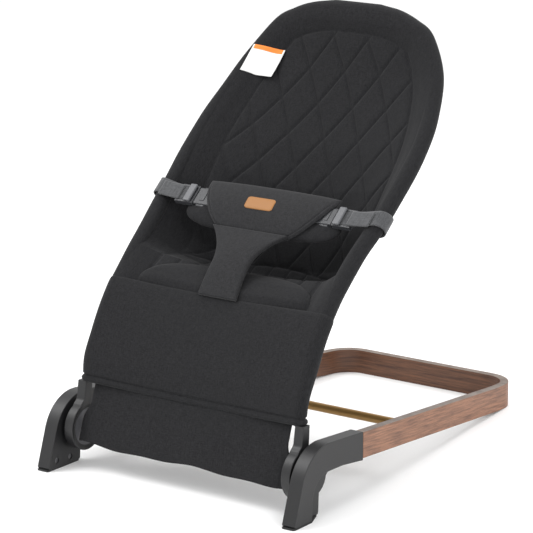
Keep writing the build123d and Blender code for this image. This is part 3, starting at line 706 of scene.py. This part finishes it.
for side, word in ((1, "right"), (-1, "left")):
    body = "seat"
    v_mid = 2.0
    wide = (v_mid - 14.5, v_mid + 14.5)
    inside = (v_mid - 13.0, v_mid + 13.0)
    socket_boxes = [
        ("a", (113.5, 117.0), wide, (3.0, 11.5), BUCKLE, 1.0),
        ("b", (116.0, 143.0), (v_mid + 11.2, v_mid + 14.6), (4.0, 12.0), BUCKLE, 1.0),
        ("c", (116.0, 143.0), (v_mid - 14.6, v_mid - 11.2), (4.0, 12.0), BUCKLE, 1.0),
        ("d", (116.5, 127.5), (v_mid - 14.4, v_mid + 14.4), (12.2, 16.4), LADDER, 1.8),
        ("e", (137.5, 143.0), inside, (4.6, 8.6), LADDER, 1.2),
    ]
    socket_parts = [
        block(f"{word}_{letter}", side, xs, vs, ws, material, body, bevel)
        for letter, xs, vs, ws, material, bevel in socket_boxes
    ]
    socket = join(socket_parts, f"{word}_buckle_socket_body")
    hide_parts(f"{word}_buckle_socket")

    plug_body = f"{word}_plug"
    plug_boxes = [
        ("f", (86.0, 113.0), (v_mid - 13.5, v_mid + 13.5), (2.5, 11.0), 1.6),
        ("g", (94.0, 108.0), (v_mid - 16.0, v_mid + 16.0), (4.5, 9.0), 1.4),
        ("h", (97.0, 105.0), (v_mid - 8.0, v_mid + 8.0), (10.6, 11.9), 0.6),
    ]
    plug_parts = [
        block(f"{word}_{letter}", side, xs, vs, ws, BUCKLE, plug_body, bevel)
        for letter, xs, vs, ws, bevel in plug_boxes
    ]
    plug = join(plug_parts, f"{word}_buckle_plug_body")
    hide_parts(f"{word}_buckle_plug")

    # Webbing: under the bar, along to the rail and round behind it
    rail_x = 175.0
    turn = np.linspace(-math.pi / 2.0, math.pi * 0.55, 22)
    line = [(118.0, 6.0), (121.0, 8.4), (126.0, 10.2), (132.0, 10.6), (140.0, 10.6), (156.0, 11.4)]
    line += [(rail_x + 12.9 * math.cos(a), -12.9 * math.sin(a)) for a in turn]
    line = smooth_points(np.array([(x, w, 0.0) for x, w in line]), 6)
    n = len(line)
    tangent = np.gradient(line[:, :2], axis=0)
    tangent /= np.linalg.norm(tangent, axis=1)[:, None]
    normal = np.stack([-tangent[:, 1], tangent[:, 0]], axis=1)
    vs = np.linspace(-1.0, 1.0, 17)
    slope = np.interp(line[:, 0], [118.0, 150.0, 190.0], [0.0, 2.0, 9.0])
    outer = line[:, None, :2] + 0.9 * normal[:, None, :]
    inner = line[:, None, :2] - 0.5 * normal[:, None, :]
    spread = v_mid + slope[:, None] + 11.8 * vs[None, :]
    top_face = on_harness(side * outer[..., 0] * np.ones((1, 17)), spread, outer[..., 1] * np.ones((1, 17)))
    low_face = on_harness(side * inner[..., 0] * np.ones((1, 17)), spread, inner[..., 1] * np.ones((1, 17)))
    if side < 0:
        top_face, low_face = low_face, top_face
    web = shell_mesh(
        f"{word}_side_webbing_band",
        top_face,
        low_face,
        WEB,
        "seat",
        replaces=(f"{word}_side_webbing",),
        slot="webbing",
    )
    # The free end of the webbing, laid back over itself near the rail
    tail_x = np.linspace(137.0, 171.0, 20)
    tail_w = np.interp(tail_x, [137.0, 156.0, 171.0], [12.3, 13.4, 14.6])
    tail_v = v_mid - 0.5 + (tail_x - 137.0) * 0.05
    tx2, tv2 = np.meshgrid(tail_x, vs, indexing="ij")
    tail_up = tail_v[:, None] + 11.6 * tv2
    tail_out = tail_w[:, None] * np.ones_like(tv2)
    tail_top = on_harness(side * tx2, tail_up, tail_out + 1.3)
    tail_low = on_harness(side * tx2, tail_up, tail_out)
    if side < 0:
        tail_top, tail_low = tail_low, tail_top
    tail = shell_mesh(f"{word}_webbing_tail", tail_top, tail_low, WEB, "seat", slot="webbing")

# ------------------------------------------------------------------ blank label
LABEL_SIDE = 20
label_cells = LABEL_SIDE - 1
label_steps = np.linspace(0.0, 1.0, LABEL_SIDE)
lu, lv = np.meshgrid(label_steps, label_steps, indexing="xy")
left_x = -154.0 + 7.0 * lv
right_x = -106.0 + 6.0 * lv
label_x = left_x + (right_x - left_x) * lu
label_s = 503.0 + 43.0 * lv
label_e = edge_distance(on_seat(label_x, label_s, np.zeros_like(label_s)))
outside = np.abs(label_x) > rail_at(label_s)[0]
tube_top = -np.sqrt(np.clip(SLEEVE_R**2 - label_e**2, 9.0, None))
cloth_top = sling_depth(label_s, label_e) - 3.3 * ramp(label_e / 20.0)
label_depth = np.where(outside, tube_top, np.minimum(tube_top * (label_e < SLEEVE_R), cloth_top)) - 1.0
label_front = on_seat(label_x, label_s, label_depth - 0.5)
label_back = on_seat(label_x, label_s, label_depth)
label = shell_mesh(
    "care_label_patch", label_front, label_back, LABEL, "seat", replaces=("care_label",), slot="label_cloth"
)
label.data.materials.append(BAND)
for poly in label.data.polygons:
    row = (poly.index % label_cells**2) // label_cells
    if poly.index < label_cells**2 and row >= 16 and 0 < poly.index % label_cells < label_cells - 1:
        poly.material_index = 1

# ------------------------------------------------------------------ stage, light and camera
FLOOR_HALF = 60.0  # metres, so that its edge is never seen
floor_mat, _, _ = new_material("floor_white", (0.93, 0.93, 0.93), 0.9)
floor_mesh = bpy.data.meshes.new("floor")
floor_corners = [(x * FLOOR_HALF, y * FLOOR_HALF, 0.0) for x, y in ((-1, -1), (1, -1), (1, 1), (-1, 1))]
floor_mesh.from_pydata(floor_corners, [], [(0, 1, 2, 3)])
floor = bpy.data.objects.new("floor", floor_mesh)
floor_mesh.materials.append(floor_mat)
bpy.context.scene.collection.objects.link(floor)

world = bpy.data.worlds.new("studio")
bpy.context.scene.world = world
world.use_nodes = True
world.node_tree.nodes["Background"].inputs["Color"].default_value = (1.0, 1.0, 1.0, 1.0)
world.node_tree.nodes["Background"].inputs["Strength"].default_value = 1.0


def area_light(name, place, target, size, power):
    """Soft square light aimed at a point."""
    data = bpy.data.lights.new(name, "AREA")
    data.size = size
    data.energy = power
    obj = bpy.data.objects.new(name, data)
    obj.location = place
    obj.rotation_euler = (Vector(target) - Vector(place)).to_track_quat("-Z", "Y").to_euler()
    bpy.context.scene.collection.objects.link(obj)


area_light("key", (-1.6, -1.2, 2.6), (0.0, 0.0, 0.25), 1.4, 42.0)
area_light("fill", (2.4, -1.4, 1.6), (0.0, 0.0, 0.25), 1.6, 26.0)
area_light("top", (0.2, 1.2, 2.8), (0.0, 0.0, 0.25), 1.8, 30.0)

AZIMUTH = math.radians(35.54)
ELEVATION = math.radians(14.08)
TARGET = Vector((-0.0161, -0.0664, 0.2563))
away = Vector((
    math.sin(AZIMUTH) * math.cos(ELEVATION),
    -math.cos(AZIMUTH) * math.cos(ELEVATION),
    math.sin(ELEVATION),
))
camera_data = bpy.data.cameras.new("camera")
camera_data.lens = 183.4
camera_data.sensor_width = 36.0
camera = bpy.data.objects.new("camera", camera_data)
camera.location = TARGET + away * 3.6636
camera.rotation_euler = (-away).to_track_quat("-Z", "Y").to_euler()
bpy.context.scene.collection.objects.link(camera)
bpy.context.scene.camera = camera
bpy.context.scene.view_settings.view_transform = "Standard"
